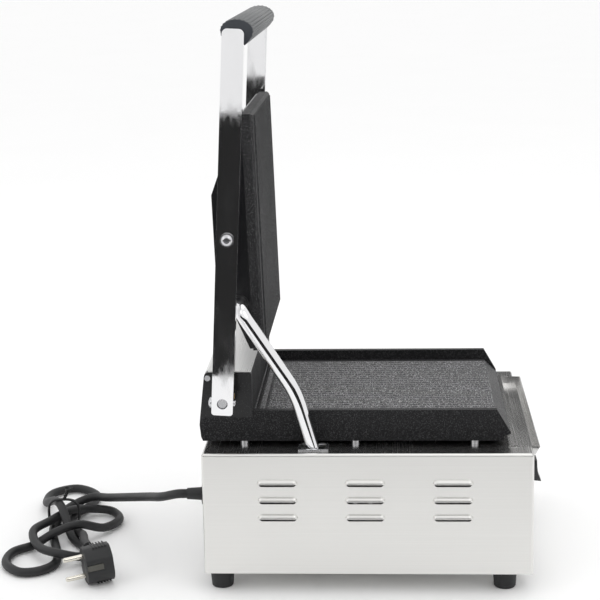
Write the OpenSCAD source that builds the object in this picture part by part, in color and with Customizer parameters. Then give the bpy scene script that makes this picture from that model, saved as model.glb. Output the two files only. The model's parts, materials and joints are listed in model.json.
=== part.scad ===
// Contact grill with a ribbed cast-iron plate below and above, in millimetres.
// X is across, -Y is the front, Z is up, and the rubber feet stand on Z = 0.

/* [Housing] */
// Width of the housing
body_w = 290; // [240:1:350]
// Depth of the housing
body_d = 311; // [260:1:375]
// Height of the housing's walls
body_h = 118.5; // [108:0.5:145]
// Thickness of the housing's sheet metal
sheet = 1.2; // [0.8:0.1:1.5]
// Outer radius of the housing's folds
fold_r = 2.5; // [2:0.1:3.5]
// Width of the inner flanges that carry the bottom plate
flange_w = 12; // [8:1:16]

/* [Feet] */
// Height of the rubber feet
foot_h = 20.6; // [16:0.1:25]
// Radius of a foot at the housing
foot_r = 12; // [9:0.5:15]
// Radius of a foot at the table
foot_tip_r = 10.4; // [8:0.1:12]
// Distance from a foot's axis to the side wall
foot_inset = 23; // [20:1:30]

/* [Louvres] */
// Louvres in each row and in each column
louvre_count = 3; // [2:1:3]
// Distance between louvres along the side
louvre_pitch_y = 82.3; // [60:0.1:85]
// Distance between rows of louvres
louvre_pitch_z = 17; // [14:0.5:20]
// Length of a louvre
louvre_l = 38; // [24:1:44]
// Radius of a louvre's hood
louvre_r = 4.4; // [3.6:0.1:5]

/* [Cooking plates] */
// Height of the lower cooking surface above the deck
cook_h = 24.9; // [22:0.1:30]
// Height of the side walls above the lower cooking surface
wall_h = 8.9; // [5:0.1:12]
// Thickness of the side walls
wall_t = 6.5; // [5:0.1:8]
// Gap between the deck and the casting
cast_gap = 3.3; // [2:0.1:5]
// Distance between ribs
rib_pitch = 7.8; // [6:0.1:10]
// Height of a rib
rib_h = 1.6; // [1:0.1:2.2]
// Thickness of the upper plate
upper_t = 12.5; // [10:0.5:15]
// Gap at the sides and below the closed upper plate
nest_gap = 1.5; // [1:0.1:3]

/* [Hinge and arms] */
// Height of the hinge shaft above the lower cooking surface
hinge_rise = 23.8; // [22:0.1:30]
// Radius of the hinge shaft
shaft_r = 5; // [4:0.1:6.2]
// Width of an arm
arm_w = 20; // [18:0.5:26]
// Thickness of an arm
arm_t = 10; // [8:0.5:12]
// Length of an arm beyond the head's pivot
arm_reach = 191.1; // [170:1:230]
// Lean of the open arms towards the front, in degrees
arm_lean = 3.2; // [0:0.1:6]
// Lean of the open head towards the rear, in degrees
head_lean = 1.61; // [0:0.01:3]
// Radius of the head's pivot bolts
bolt_r = 4; // [3:0.1:5]
// Radius of the clamp bolts through the shaft
clamp_r = 3; // [2:0.1:3]
// Running clearance on a radius
run_fit = 0.05; // [0.03:0.01:0.08]

/* [Conduit] */
// Outer radius of the conduit tube
tube_r = 6.5; // [5.4:0.1:7]
// Wall of the conduit tube
tube_wall = 1.3; // [1:0.1:2]
// Clearance between the conduit tube and an arm or the head
tube_gap = 1.5; // [1:0.1:3]

/* [Controls] */
// Radius of the thermostat knob
knob_r = 20; // [16:0.5:22]
// Radius of the knob's spindle
spindle_r = 3; // [2.5:0.1:3.5]
// Radius of a lamp's lens
lamp_r = 4.4; // [3.5:0.1:5]
// Half of the rocker's width
rocker_w = 8; // [6:0.1:8]

/* [Drip tray] */
// Thickness of the drip tray's sheet
tray_sheet = 0.8; // [0.6:0.1:1]
// Depth of the drip tray's trough
tray_d = 8; // [6:0.5:12]

/* [Cord] */
// Diameter of the power cord
cord_d = 9; // [7:0.5:9]

/* [Hidden] */
$fn = 48;
half_w = body_w / 2;
half_d = body_d / 2;
deck_z = foot_h + body_h;
cook_z = deck_z + cook_h;
cast_z = deck_z + cast_gap;
wall_top = cook_z + wall_h;
arm_x = half_w - arm_t;
plate_x = arm_x - 2 * tube_r - 2 * tube_gap - 4;
wall_x = plate_x - wall_t;
head_x = wall_x - nest_gap;
tube_x = -(arm_x - tube_gap - tube_r);
fit = 0.02;

// Places along the depth
cook_y0 = -half_d + 32.8;
front_y = cook_y0 - 6.6;
lip_y = cook_y0 - 13.1;
rear_y = half_d + 4;
hinge_y = half_d - 21.6;
hinge_z = cook_z + hinge_rise;
box_y = hinge_y - 25;
box_z = hinge_z + 22.6;
cheek_z = cook_z + 2;
cheek_t = 8;
cheek_x = plate_x - cheek_t;
cook_y1 = box_y - 11.7;
pocket_x = plate_x - 15;
pocket_z = cook_z - 11;
pocket_y0 = cook_y0 + 2.7;
pocket_y1 = cook_y1 + 2.8;
clamp_y = (pocket_y0 + pocket_y1) / 2;
bulb_y = clamp_y - 60;

// The head: s runs up the open head and t runs to its rear, both from its pivot
head_y0 = cook_y0 - 9.1;
head_y1 = cook_y1 - 4.6;
head_len = head_y1 - head_y0;
head_s1 = head_len / 2 - 2.3;
head_s0 = head_s1 - head_len;
head_mid = (head_s0 + head_s1) / 2;
face_t = -27.5;
plate_back_t = face_t + upper_t;
cover_t = 16.5;
cover_wall = 2.5;
cover_flat = head_len / 2 - 74.2;
closed_y = head_y0 + head_s1;
closed_z = cook_z + 1 - face_t;
arm_pivot = norm([hinge_y - closed_y, closed_z - hinge_z]);
arm_len = arm_pivot + arm_reach;
head_pivot = [0, hinge_y - arm_pivot * sin(arm_lean), hinge_z + arm_pivot * cos(arm_lean)];
bar_s = arm_len - 10;
bar_r = 6;
spigot_r = 4;
grip_x = arm_x - 0.2;
bolt_head_r = bolt_r + 1.25;
washer_t = 1.2;
bush_r = shaft_r + 2;
bush_flange = 1.5;

// The conduit tube: its swivel on the head, its knee and its foot at the deck
swivel_t = -4.8;
swivel_s = head_s0 + 46.4;
swivel = [head_pivot[1] + swivel_t * cos(head_lean) + swivel_s * sin(head_lean),
    head_pivot[2] - swivel_t * sin(head_lean) + swivel_s * cos(head_lean)];
knee = [swivel[0] - 52.4, deck_z + 53.9];
tube_foot = [swivel[0] - 67.4, deck_z];
ball = 0.15;
lower_leg = norm(knee - tube_foot) + 6;

// The front panel's fittings
tray_x = wall_x + 13.5;
tray_z = deck_z - tray_d;
tray_out = half_d + 2.1;
rocker_x = -105;
rocker_z = foot_h + 91.4;
rocker_h = 10.3;
knob_x = 85;
knob_z = foot_h + 59.4;
lamp_z = foot_h + 97.4;
lamp_gap = 25;
gland_x = -100;
gland_z = foot_h + 63.9;
foot_y = [half_d - 14.7, -(half_d - 25.1)];
stud_y = [hinge_y - 16.9, hinge_y - 122.9, cook_y0 + 20.7];
stud_x = plate_x - 4.5;
stud_r = 2.5;
element_r = 4;
leg_x = 20;
plug_at = [-120, 266, 20];
plug_turn = [-5, 8, 22];
tie_x = 30;

// Route of the power cord from the gland to the plug, laid loosely on the table
cord_route = [
    [gland_x, half_d - 1.5, gland_z], [gland_x, half_d + 27, gland_z],
    [-80, 204, 74], [-36, 226, 58], [56, 280, 24], [78, 306, 16], [64, 328, 9],
    [34, 334, 6], [0, 332, 5], [-70, 313, 5], [-98, 320, 5], [-106, 342, 5],
    [-84, 362, 5], [-54, 362, 5.2], [-36, 344, 6], [-24, 324, 15], [-12, 302, 19.2],
    [8, 280, 8], [38, 268, 5.6], [64, 280, 5.6], [62, 302, 9], [38, 320, 16],
    [10, 336, 15], [-24, 347, 16], [-60, 333, 13], [-82, 308, 15], [-72, 289, 8],
    [-44, 290, 5.6], [-14, 309, 6.2], [20, 325, 24.8], [50, 339, 22.6], [84, 356, 8],
    [120, 356, 5.8], [138, 332, 5.2], [116, 306, 5], [82, 308, 5], [44, 320, 6],
    [6, 309, 5.6], [-12, 300, 9.4], [-34, 293, 15.6], [-54, 288, 17], [-76, 280, 20]];

// Extrudes a (Y, Z) outline from x0 to x1
module slab(x0, x1) translate([x0, 0, 0]) rotate([90, 0, 90]) linear_extrude(x1 - x0) children();

// Extrudes an (X, Z) outline from y0 to y1
module run_y(y0, y1) translate([0, y1, 0]) rotate([90, 0, 0]) linear_extrude(y1 - y0) children();

// Extrudes an (X, Y) outline from z0 to z1
module rise(z0, z1) translate([0, 0, z0]) linear_extrude(z1 - z0) children();

// A box given by its two corners
module block(a, b) translate(a) cube(b - a);

module pin_x(r, x0, x1) translate([x0, 0, 0]) rotate([0, 90, 0]) cylinder(r = r, h = x1 - x0);
module pin_y(r, y0, y1) translate([0, y0, 0]) rotate([-90, 0, 0]) cylinder(r = r, h = y1 - y0);
module pin_z(r, z0, z1) translate([0, 0, z0]) cylinder(r = r, h = z1 - z0);

// A tube along X
module sleeve_x(r, bore, x0, x1) difference() {
    pin_x(r, x0, x1);
    pin_x(bore, x0 - 1, x1 + 1);
}

// A straight round rod between two points
module rod(a, b, r) {
    d = b - a;
    translate(a) rotate([0, acos(d[2] / norm(d)), atan2(d[1], d[0])]) cylinder(r = r, h = norm(d));
}

module both_sides() {
    children();
    mirror([1, 0, 0]) children();
}

// A rectangle with round corners
module soft_rect(u0, u1, v0, v1, r) {
    translate([u0 + r, v0]) square([u1 - u0 - 2 * r, v1 - v0]);
    translate([u0, v0 + r]) square([u1 - u0, v1 - v0 - 2 * r]);
    for (u = [u0 + r, u1 - r], v = [v0 + r, v1 - r]) translate([u, v]) circle(r);
}

// A quarter of a folded edge in the first quadrant
module fold_arc() intersection() {
    difference() {
        circle(fold_r);
        circle(fold_r - sheet);
    }
    square(fold_r);
}

module in_arm() translate([0, hinge_y, hinge_z]) rotate([arm_lean, 0, 0]) children();
module in_head() translate(head_pivot) rotate([-head_lean, 0, 0]) children();

// Outline of ribs on a strip from -x to x, with its back at -depth and the ribs' tops at 0
function comb(x, depth) = let (n = floor((x - rib_pitch) / rib_pitch)) concat(
    [[-x, -depth], [-x, -rib_h]],
    [for (i = [-n:n], p = [[-2.6, -rib_h], [-1.6, 0], [1.6, 0], [2.6, -rib_h]])
        [i * rib_pitch + p[0], p[1]]],
    [[x, -rib_h], [x, -depth]]);

// Housing

module louvre_capsule(r) {
    reach = louvre_l / 2 - louvre_r;
    translate([half_w - sheet, 0, 0]) {
        pin_y(r, -reach, reach);
        for (y = [-reach, reach]) translate([0, y, 0]) sphere(r);
    }
}

module louvre_places() for (i = [0:louvre_count - 1], j = [0:louvre_count - 1])
    translate([0, (i - (louvre_count - 1) / 2) * louvre_pitch_y + 2, deck_z - 29.2 - j * louvre_pitch_z])
        children();

module side_wall() {
    difference() {
        run_y(-(half_d - fold_r), half_d - fold_r) {
            translate([half_w - sheet, foot_h]) square([sheet, body_h - fold_r]);
            translate([half_w - fold_r, deck_z - fold_r]) fold_arc();
            translate([half_w - flange_w, foot_h + sheet]) square([flange_w - sheet / 2, sheet]);
        }
        louvre_places() intersection() {
            louvre_capsule(louvre_r - sheet);
            block([half_w - 2 * louvre_r, -louvre_l, -louvre_r],
                [half_w + 2 * louvre_r, louvre_l, louvre_r]);
        }
    }
    louvre_places() intersection() {
        difference() {
            louvre_capsule(louvre_r);
            louvre_capsule(louvre_r - sheet);
        }
        block([half_w - sheet / 2, -louvre_l, 0], [half_w + louvre_r, louvre_l, louvre_r]);
    }
}

module left_side_panel() color("gainsboro") mirror([1, 0, 0]) side_wall();
module right_side_panel() color("gainsboro") side_wall();

// A front or rear wall with its corner folds, at the front
module end_wall() {
    rise(foot_h, deck_z - fold_r) {
        translate([-(half_w - fold_r), -half_d]) square([2 * (half_w - fold_r), sheet]);
        translate([half_w - fold_r, -(half_d - fold_r)]) mirror([0, 1]) fold_arc();
        translate([-(half_w - fold_r), -(half_d - fold_r)]) rotate(180) fold_arc();
    }
    block([-(half_w - flange_w - 2), -half_d + sheet / 2, foot_h + sheet],
        [half_w - flange_w - 2, -half_d + flange_w - 2, foot_h + 2 * sheet]);
}

module rear_panel() color("gainsboro") difference() {
    mirror([0, 1, 0]) end_wall();
    translate([gland_x, 0, gland_z]) pin_y(8.1, half_d - 4, half_d + 4);
}

module front_panel() color("gainsboro") difference() {
    end_wall();
    block([-tray_x - 0.8, -half_d - 4, tray_z - 0.3], [tray_x + 0.8, -half_d + 4, deck_z]);
    translate([rocker_x, 0, rocker_z])
        block([-10.1, -half_d - 4, -14.3], [10.1, -half_d + 4, 14.3]);
    translate([knob_x, 0, knob_z]) pin_y(spindle_r + 0.4, -half_d - 4, -half_d + 4);
    lamp_places() pin_y(lamp_r + 0.2, -half_d - 4, -half_d + 4);
}

module lamp_places() for (x = [-lamp_gap, lamp_gap]) translate([knob_x + x, 0, lamp_z]) children();

module top_deck() color("gainsboro") {
    fx = half_w - fold_r;
    fy = half_d - fold_r;
    difference() {
        union() {
            block([-fx, -fy, deck_z - sheet], [fx, fy, deck_z]);
            slab(-fx, fx) {
                translate([fy, deck_z - fold_r]) fold_arc();
                translate([-fy, deck_z - fold_r]) mirror([1, 0]) fold_arc();
            }
            for (p = [[1, 1, 0], [-1, 1, 90], [-1, -1, 180], [1, -1, 270]])
                translate([p[0] * fx, p[1] * fy, deck_z - fold_r]) rotate([0, 0, p[2]])
                    rotate_extrude(angle = 90) fold_arc();
        }
        block([-tray_x - 0.8, -half_d - 1, deck_z - 5], [tray_x + 0.8, -half_d + 15.3, deck_z + 1]);
        block([-pocket_x + 8, pocket_y0 + 15, deck_z - 5], [pocket_x - 8, pocket_y1 - 8, deck_z + 1]);
        guide_slot(deck_z - 5);
        for (y = stud_y) both_sides() translate([stud_x, y, 0])
            pin_z(stud_r + 0.1, deck_z - 5, deck_z + 1);
    }
}

module guide_slot(z0) block([tube_x - tube_r - 0.7, tube_foot[0] - 11.8, z0],
    [tube_x + tube_r + 0.7, tube_foot[0] + 10.5, deck_z + 5]);

module bottom_plate() color("silver") difference() {
    x = half_w - sheet - 0.5;
    y = half_d - sheet - 0.5;
    block([-x, -y, foot_h], [x, y, foot_h + sheet]);
    foot_places() pin_z(2.2, foot_h - 1, foot_h + 3);
    for (i = [-4:4], j = [-1, 1]) translate([j * 45, i * 16, foot_h - 1])
        linear_extrude(4) soft_rect(-30, 30, -2, 2, 1.9);
}

module foot_places() for (y = foot_y, x = [-1, 1])
    translate([x * (half_w - foot_inset), y, 0]) children();

module feet() color([0.08, 0.08, 0.08]) foot_places() rotate_extrude()
    polygon([[4.4, 0], [foot_tip_r - 1, 0], [foot_tip_r, 1], [foot_r, foot_h], [2.2, foot_h],
        [2.2, foot_h / 2], [4.4, foot_h / 2]]);

module foot_screws() color("silver") foot_places() {
    pin_z(3.8, foot_h / 2 - 2.6, foot_h / 2);
    pin_z(2, foot_h / 2, foot_h + 8);
    difference() {
        cylinder_nut(4, foot_h + sheet, foot_h + sheet + 3.2);
        pin_z(2, foot_h, foot_h + 9);
    }
}

// A hexagonal nut's body, r across its corners
module cylinder_nut(r, z0, z1) translate([0, 0, z0]) cylinder(r = r, h = z1 - z0, $fn = 6);

// Lower cooking plate and hinge box

module lower_plate() color([0.16, 0.16, 0.17]) {
    slope = atan2(13.7, cook_y0 - lip_y);
    apron_l = norm([13.7, cook_y0 - lip_y]);
    floor_z = cook_z - rib_h;
    difference() {
        union() {
            slab(-plate_x, plate_x) polygon([[front_y, cast_z], [front_y, cast_z + 4.6],
                [lip_y + 0.6, cook_z - 15.3], [lip_y, cook_z - 14.6], [cook_y0, floor_z],
                [cook_y1, floor_z], [box_y, floor_z], [box_y, cheek_z], [rear_y - 0.7, cheek_z],
                [rear_y, cook_z - 5.5], [rear_y - 1, cast_z + 4.2], [rear_y - 2.7, cast_z]]);
            run_y(cook_y0 - 0.6, cook_y1)
                polygon([for (p = comb(wall_x, rib_h + 1)) [p[0], cook_z + p[1]]]);
            translate([0, cook_y0, cook_z]) rotate([slope, 0, 0])
                run_y(-apron_l, 0) polygon(comb(wall_x, rib_h + 0.6));
            both_sides() slab(wall_x, plate_x) polygon([[front_y, cast_z], [front_y, cast_z + 4.6],
                [lip_y, cook_z - 15.3], [lip_y, cook_z - 13.7], [cook_y0, wall_top], [box_y, wall_top],
                [box_y, cast_z]]);
            slab(-wall_x - 0.5, wall_x + 0.5) polygon([[cook_y1, floor_z - 1], [cook_y1, cook_z],
                [cook_y1 + 3.1, cook_z + 1.5], [box_y - 4.7, cook_z + 1.5], [box_y - 4.7, cook_z],
                [box_y + 1, cook_z], [box_y + 1, floor_z - 1]]);
            block([-cheek_x, box_y, cook_z - 4], [cheek_x, box_y + 6, box_z]);
        }
        block([-wall_x, cook_y1 - 0.1, cook_z - 2], [wall_x, cook_y1 + 2.6, cook_z + 4]);
        block([-wall_x, box_y - 4.7, cook_z - 4], [wall_x, box_y - 0.5, cook_z + 4]);
        block([-pocket_x, pocket_y0, cast_z - 1], [pocket_x, pocket_y1, pocket_z]);
        block([-pocket_x, box_y + 7.1, cast_z + 5.6], [pocket_x, rear_y - 7.5, cheek_z + 1]);
        both_sides()
            block([plate_x - 0.8, front_y - 9, cast_z - 1], [plate_x + 1, rear_y + 1, cook_z - 10.7]);
        for (y = stud_y) both_sides() translate([stud_x, y, 0])
            pin_z(stud_r + fit, cast_z - 1, cast_z + 7.6);
        for (x = [-2 * leg_x, 2 * leg_x]) translate([x, clamp_y, 0])
            pin_z(3 + fit, pocket_z - 1, pocket_z + 5);
    }
}

module plate_studs() color("silver") for (y = stud_y) both_sides() translate([stud_x, y, 0]) {
    pin_z(stud_r, deck_z - 10, cast_z + 7.6);
    difference() {
        pin_z(4, deck_z, cast_z);
        pin_z(stud_r, deck_z - 1, cast_z + 1);
    }
    difference() {
        cylinder_nut(4.4, deck_z - sheet - 4, deck_z - sheet);
        pin_z(stud_r, deck_z - 9, deck_z);
    }
}

module cheek() {
    difference() {
        slab(cheek_x, plate_x) polygon(concat([[box_y, cheek_z], [rear_y - 0.7, cheek_z]],
            [for (a = [7:16.6:90]) [rear_y - 10.4 + 5 * cos(a), box_z - 5 + 5 * sin(a)]],
            [[box_y + 2, box_z], [box_y, box_z - 2]]));
        translate([0, hinge_y, hinge_z]) pin_x(bush_r, cheek_x - 1, plate_x + 1);
        translate([0, rear_y - 9, box_z - 5.5]) pin_x(1.5, cheek_x - 1, plate_x + 1);
    }
}

module left_hinge_cheek() color([0.07, 0.07, 0.08]) mirror([1, 0, 0]) cheek();
module right_hinge_cheek() color([0.07, 0.07, 0.08]) cheek();

module hinge_cover() color("lightgray") {
    top_y = rear_y - 9.5;
    block([-plate_x, box_y, box_z], [plate_x, top_y, box_z + sheet]);
    slab(-cheek_x + 0.2, cheek_x - 0.2) polygon([[top_y - 1, box_z], [top_y - 1, box_z + sheet],
        [top_y, box_z + sheet], [rear_y - 4.9, box_z - 4.6], [rear_y, cheek_z], [rear_y - sheet, cheek_z],
        [rear_y - 6.2, box_z - 5.2]]);
}

module hinge_cover_screws() color("silver") both_sides() translate([0, rear_y - 9, box_z - 5.5]) {
    pin_x(1.5, cheek_x + 0.4, plate_x);
    pin_x(2.8, plate_x, plate_x + 1.4);
}

module hinge_bushes() color("goldenrod") both_sides() translate([0, hinge_y, hinge_z]) {
    sleeve_x(bush_r, shaft_r + run_fit, cheek_x, plate_x);
    sleeve_x(bush_r + 2, shaft_r + run_fit, plate_x, plate_x + bush_flange);
}

module hinge_springs() color("dimgray") {
    wire = 1.75;
    mean = shaft_r + 3.5;
    turns = 17;
    both_sides() translate([20, hinge_y, hinge_z]) {
        rotate([0, 90, 0]) rotate_extrude() polygon(concat([[mean - wire, 0]],
            [for (i = [0:turns - 1], p = [[0.6, 0.2], [wire, wire], [0.6, 2 * wire - 0.2]])
                [mean + p[0], 2 * wire * i + p[1]]],
            [[mean - wire, 2 * wire * turns]]));
        translate([wire, mean, 0]) pin_z(wire, -(hinge_z - cast_z - 5.6), 0);
    }
}

module conduit_guide() color("silver") difference() {
    block([tube_x - tube_r - 4, tube_foot[0] - 14.8, deck_z],
        [tube_x + tube_r + 4, tube_foot[0] + 13.5, deck_z + 2]);
    guide_slot(deck_z - 1);
}

module heat_shield() color("silver") difference() {
    run_y(pocket_y0 + 20, pocket_y1 - 12) {
        x = pocket_x - 4;
        translate([-x, deck_z - 11]) square([2 * x, 1]);
        for (m = [0, 1]) mirror([m, 0]) {
            translate([x - 1, deck_z - 11]) square([1, 11 - sheet]);
            translate([x - 1, deck_z - sheet - 1]) square([6, 1]);
        }
    }
    translate([0, bulb_y, 0]) pin_z(2, deck_z - 12, deck_z - 9);
}

// Heating elements: legs along v joined by half rings, drawn flat in the (X, Y) plane
module element(y0, y1) {
    for (x = [-3, -1, 1, 3]) translate([x * leg_x, 0, 0]) pin_y(element_r, abs(x) > 1 ? y0 - 20 : y0, y1);
    for (x = [-2, 2]) translate([x * leg_x, y1, 0])
        rotate_extrude(angle = 180) translate([leg_x, 0]) circle(element_r);
    translate([0, y0, 0])
        rotate_extrude(angle = -180) translate([leg_x, 0]) circle(element_r);
    for (x = [-3, 3]) translate([x * leg_x, 0, 0]) pin_y(1.6, y0 - 28, y0 - 20);
}

module lower_element() color("dimgray") translate([0, 0, pocket_z - element_r])
    element(pocket_y0 + 35, pocket_y1 - 30);

module clamp_bolt_pair(y, z0, z1) for (x = [-2 * leg_x, 2 * leg_x]) translate([x, y, 0]) {
    pin_z(3, z0, z1);
    cylinder_nut(5.5, z0 - 3, z0);
}

module lower_clamp() color("gray") {
    z = pocket_z - 2 * element_r;
    difference() {
        block([-75, clamp_y - 40, z - 1.5], [75, clamp_y + 60, z]);
        for (x = [-2 * leg_x, 2 * leg_x]) translate([x, clamp_y, 0]) pin_z(3, z - 2, z + 1);
    }
    clamp_bolt_pair(clamp_y, z - 1.5, pocket_z + 5);
}

// Electrical parts inside the housing

module thermostat_body() color("ivory") translate([knob_x, 0, knob_z]) difference() {
    union() {
        block([-18, -half_d + 6.5, -16], [18, -half_d + 33, 16]);
        pin_y(6, -half_d + sheet, -half_d + 7);
    }
    pin_y(spindle_r + run_fit, -half_d, -half_d + 27);
}

module thermostat_bulb() color("peru") {
    front = [0, bulb_y, pocket_z - 3];
    low = [front[0], front[1], knob_z + 30];
    side = [knob_x, low[1], low[2]];
    pin_at = [knob_x, -half_d + 20, knob_z + 16];
    turn = [knob_x, pin_at[1], low[2]];
    translate([0, 0, front[2]]) pin_y(3, front[1], clamp_y + 20);
    rod(front, low, 1);
    rod(low, side, 1);
    rod(side, turn, 1);
    rod(turn, pin_at, 1);
    for (p = [low, side, turn]) translate(p) sphere(1);
}

module terminal_block() color("ivory") difference() {
    block([-70, half_d - 56, foot_h + sheet], [-30, half_d - 36, foot_h + sheet + 15]);
    for (x = [-62, -50, -38]) translate([x, half_d - 46, 0])
        pin_z(2.5, foot_h + sheet + 6, foot_h + sheet + 16);
}

module switch_body() color([0.06, 0.06, 0.06]) translate([rocker_x, -half_d, rocker_z]) difference() {
    union() {
        block([-10, -0.5, -14.2], [10, 26, 14.2]);
        run_y(-1.8, 0) soft_rect(-12, 12, -16, 16, 2);
    }
    block([-rocker_w - 0.3, -3, -rocker_h - 2.6], [rocker_w + 0.3, 8, rocker_h + 2.6]);
    pin_x(1.5 + run_fit, -9.4, 9.4);
}

module rocker() color([0.05, 0.05, 0.05]) translate([rocker_x, -half_d, rocker_z]) {
    slab(-rocker_w, rocker_w) polygon([[-5.3, rocker_h], [-5.6, 4], [-6.4, -3], [-9.4, -rocker_h],
        [4, -9], [4, 9], [0, rocker_h]]);
    pin_x(1.5, -9.2, 9.2);
}

module dial_ring() color("silver") translate([knob_x, 0, knob_z]) difference() {
    pin_y(knob_r + 6, -half_d - 1, -half_d);
    pin_y(spindle_r + 0.4, -half_d - 2, -half_d + 1);
}

module thermostat_knob() color([0.07, 0.07, 0.07]) translate([knob_x, 0, knob_z]) difference() {
    union() {
        pin_y(knob_r, -half_d - 10, -half_d - 2);
        pin_y(knob_r - 3, -half_d - 13, -half_d - 9.5);
        block([-3.5, -half_d - 16, -knob_r + 2], [3.5, -half_d - 12, knob_r - 2]);
    }
    pin_y(spindle_r + fit, -half_d - 12, -half_d);
    for (a = [0:30:330]) rotate([0, a, 0]) translate([knob_r + 1, 0, 0])
        pin_y(2.2, -half_d - 11, -half_d - 1);
}

module thermostat_spindle() color("silver") translate([knob_x, 0, knob_z])
    pin_y(spindle_r, -half_d - 12, -half_d + 26.5);

module lamp_bezels() color("silver") lamp_places() difference() {
    pin_y(lamp_r + 2.2, -half_d - 1.4, -half_d);
    pin_y(lamp_r + 0.2, -half_d - 2, -half_d + 1);
}

module lamp() intersection() {
    pin_y(lamp_r, -half_d - 6, -half_d + 16);
    union() {
        translate([0, -half_d + 2, 0]) sphere(lamp_r + 1.6);
        pin_y(lamp_r + 1, -half_d + 1, -half_d + 17);
    }
}

module power_lamp() color("limegreen") translate([knob_x - lamp_gap, 0, lamp_z]) lamp();
module heat_lamp() color("orange") translate([knob_x + lamp_gap, 0, lamp_z]) lamp();

// Cord

module in_gland(y) translate([gland_x, y, gland_z]) rotate([-90, 0, 0]) children();

module cord_gland() color([0.08, 0.08, 0.08]) in_gland(half_d) difference() {
    union() {
        translate([0, 0, -12]) cylinder(r = 8, h = 13);
        cylinder(r = 10.5, h = 5);
        translate([0, 0, 4.9]) cylinder(r1 = cord_d / 2 + 1.9, r2 = cord_d / 2 + 0.9, h = 15.1);
    }
    translate([0, 0, -13]) cylinder(r = cord_d / 2 + 0.1, h = 40);
}

module gland_nut() color([0.1, 0.1, 0.1]) in_gland(half_d - sheet - 5) difference() {
    cylinder_nut(12, 0, 5);
    translate([0, 0, -1]) cylinder(r = 8, h = 7);
}

function bent(a, b, c, d, u) = (2 * b + (c - a) * u + (2 * a - 5 * b + 4 * c - d) * u * u
    + (3 * b - a - 3 * c + d) * u * u * u) / 2;
function clipped(p, i) = i < 0 ? 2 * p[0] - p[1] : i >= len(p) ? 2 * p[len(p) - 1] - p[len(p) - 2] : p[i];
function smooth_route(p, parts) = concat([for (i = [0:len(p) - 2], k = [0:parts - 1])
    bent(clipped(p, i - 1), p[i], p[i + 1], clipped(p, i + 2), k / parts)], [p[len(p) - 1]]);
function unit(v) = v / norm(v);

// A tube along a route that is never upright, with r as its radius
module cord_tube(route, r, sides) {
    n = len(route);
    dir = [for (i = [0:n - 1]) unit(route[min(i + 1, n - 1)] - route[max(i - 1, 0)])];
    side = [for (d = dir) unit(cross(d, [0, 0, 1]))];
    points = [for (i = [0:n - 1], k = [0:sides - 1])
        let (a = 360 * (k + 0.5) / sides, up = cross(side[i], dir[i]))
        route[i] + r * (cos(a) * side[i] + sin(a) * up)];
    faces = concat([[for (k = [0:sides - 1]) k]],
        [for (i = [0:n - 2], k = [0:sides - 1]) let (m = (k + 1) % sides)
            [i * sides + m, i * sides + k, (i + 1) * sides + k, (i + 1) * sides + m]],
        [[for (k = [sides - 1:-1:0]) (n - 1) * sides + k]]);
    polyhedron(points, faces);
}

module power_cord() color([0.08, 0.08, 0.08]) cord_tube(smooth_route(cord_route, 2), cord_d / 2, 8);

module cord_tie() color([0.1, 0.1, 0.1]) slab(tie_x - 1.5, tie_x + 1.5) difference() {
    soft_rect(308, 343, 0.1, 32.6, 7);
    soft_rect(309.2, 341.8, 1.2, 31.5, 6);
}

module in_plug() translate(plug_at) rotate(plug_turn) children();

module plug_body() color([0.08, 0.08, 0.09]) in_plug() difference() {
    union() {
        intersection() {
            pin_y(18.5, -16, 10);
            block([-17, -17, -17.5], [19, 11, 17.5]);
        }
        pin_x(9, 10, 24);
        translate([24, 0, 0]) rotate([0, 90, 0]) cylinder(r1 = 8.5, r2 = 5.6, h = 22);
    }
    for (z = [-9.5, 9.5]) translate([0, 0, z]) pin_y(2.4, -4, 11);
    block([-18, -6, -3.2], [-15.6, 11, 3.2]);
    block([15.6, -6, -3.2], [25, 11, 3.2]);
    translate([46 - 10, 0, 0]) pin_x(cord_d / 2 + 0.1, 0, 11);
}

module plug_pins() color("silver") in_plug() for (z = [-9.5, 9.5]) translate([0, 0, z]) {
    pin_y(2.4, -4, 27.6);
    translate([0, 27.6, 0]) intersection() {
        sphere(2.4);
        pin_y(3, 0, 3);
    }
}

module earth_clips() color("silver") in_plug() {
    block([-17.4, -6, -2.8], [-15.6, 9.6, 2.8]);
    block([15.6, -6, -2.8], [17.4, 9.6, 2.8]);
}

// Arm assembly

module hinge_shaft() color("silver") in_arm() difference() {
    union() {
        pin_x(shaft_r, -half_w + 2, half_w - 2);
        for (m = [0, 1]) mirror([m, 0, 0]) translate([half_w - 2, 0, 0]) rotate([0, 90, 0])
            cylinder(r1 = shaft_r, r2 = shaft_r - 1, h = 1);
    }
    both_sides() translate([arm_x + arm_t / 2, 0, 0]) pin_y(clamp_r + 0.1, -shaft_r - 1, shaft_r + 1);
}

module shaft_collars() color("dimgray") in_arm() both_sides()
    sleeve_x(shaft_r + 3.5, shaft_r + fit, arm_x - 9, arm_x - 1);

module arm() in_arm() difference() {
    slab(arm_x, half_w) {
        soft_rect(-arm_w / 2, arm_w / 2, -10.9, 40, 3);
        soft_rect(-arm_w / 2, arm_w / 2, 20, arm_len, 5);
    }
    pin_x(shaft_r + fit, arm_x - 1, half_w + 1);
    translate([0, 0, arm_pivot]) pin_x(bolt_r + run_fit, arm_x - 1, half_w + 1);
    translate([arm_x + arm_t / 2, 0, 0]) pin_y(clamp_r + 0.1, -arm_w, arm_w);
    translate([0, 0, bar_s]) pin_x(spigot_r + fit, arm_x - 1, arm_x + 6);
}

module left_arm() color("silver") mirror([1, 0, 0]) arm();
module right_arm() color("silver") arm();

module handle_crossbar() color("silver") in_arm() translate([0, 0, bar_s]) {
    pin_x(bar_r, -arm_x, arm_x);
    both_sides() pin_x(spigot_r, arm_x - 1, arm_x + 6);
}

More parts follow.
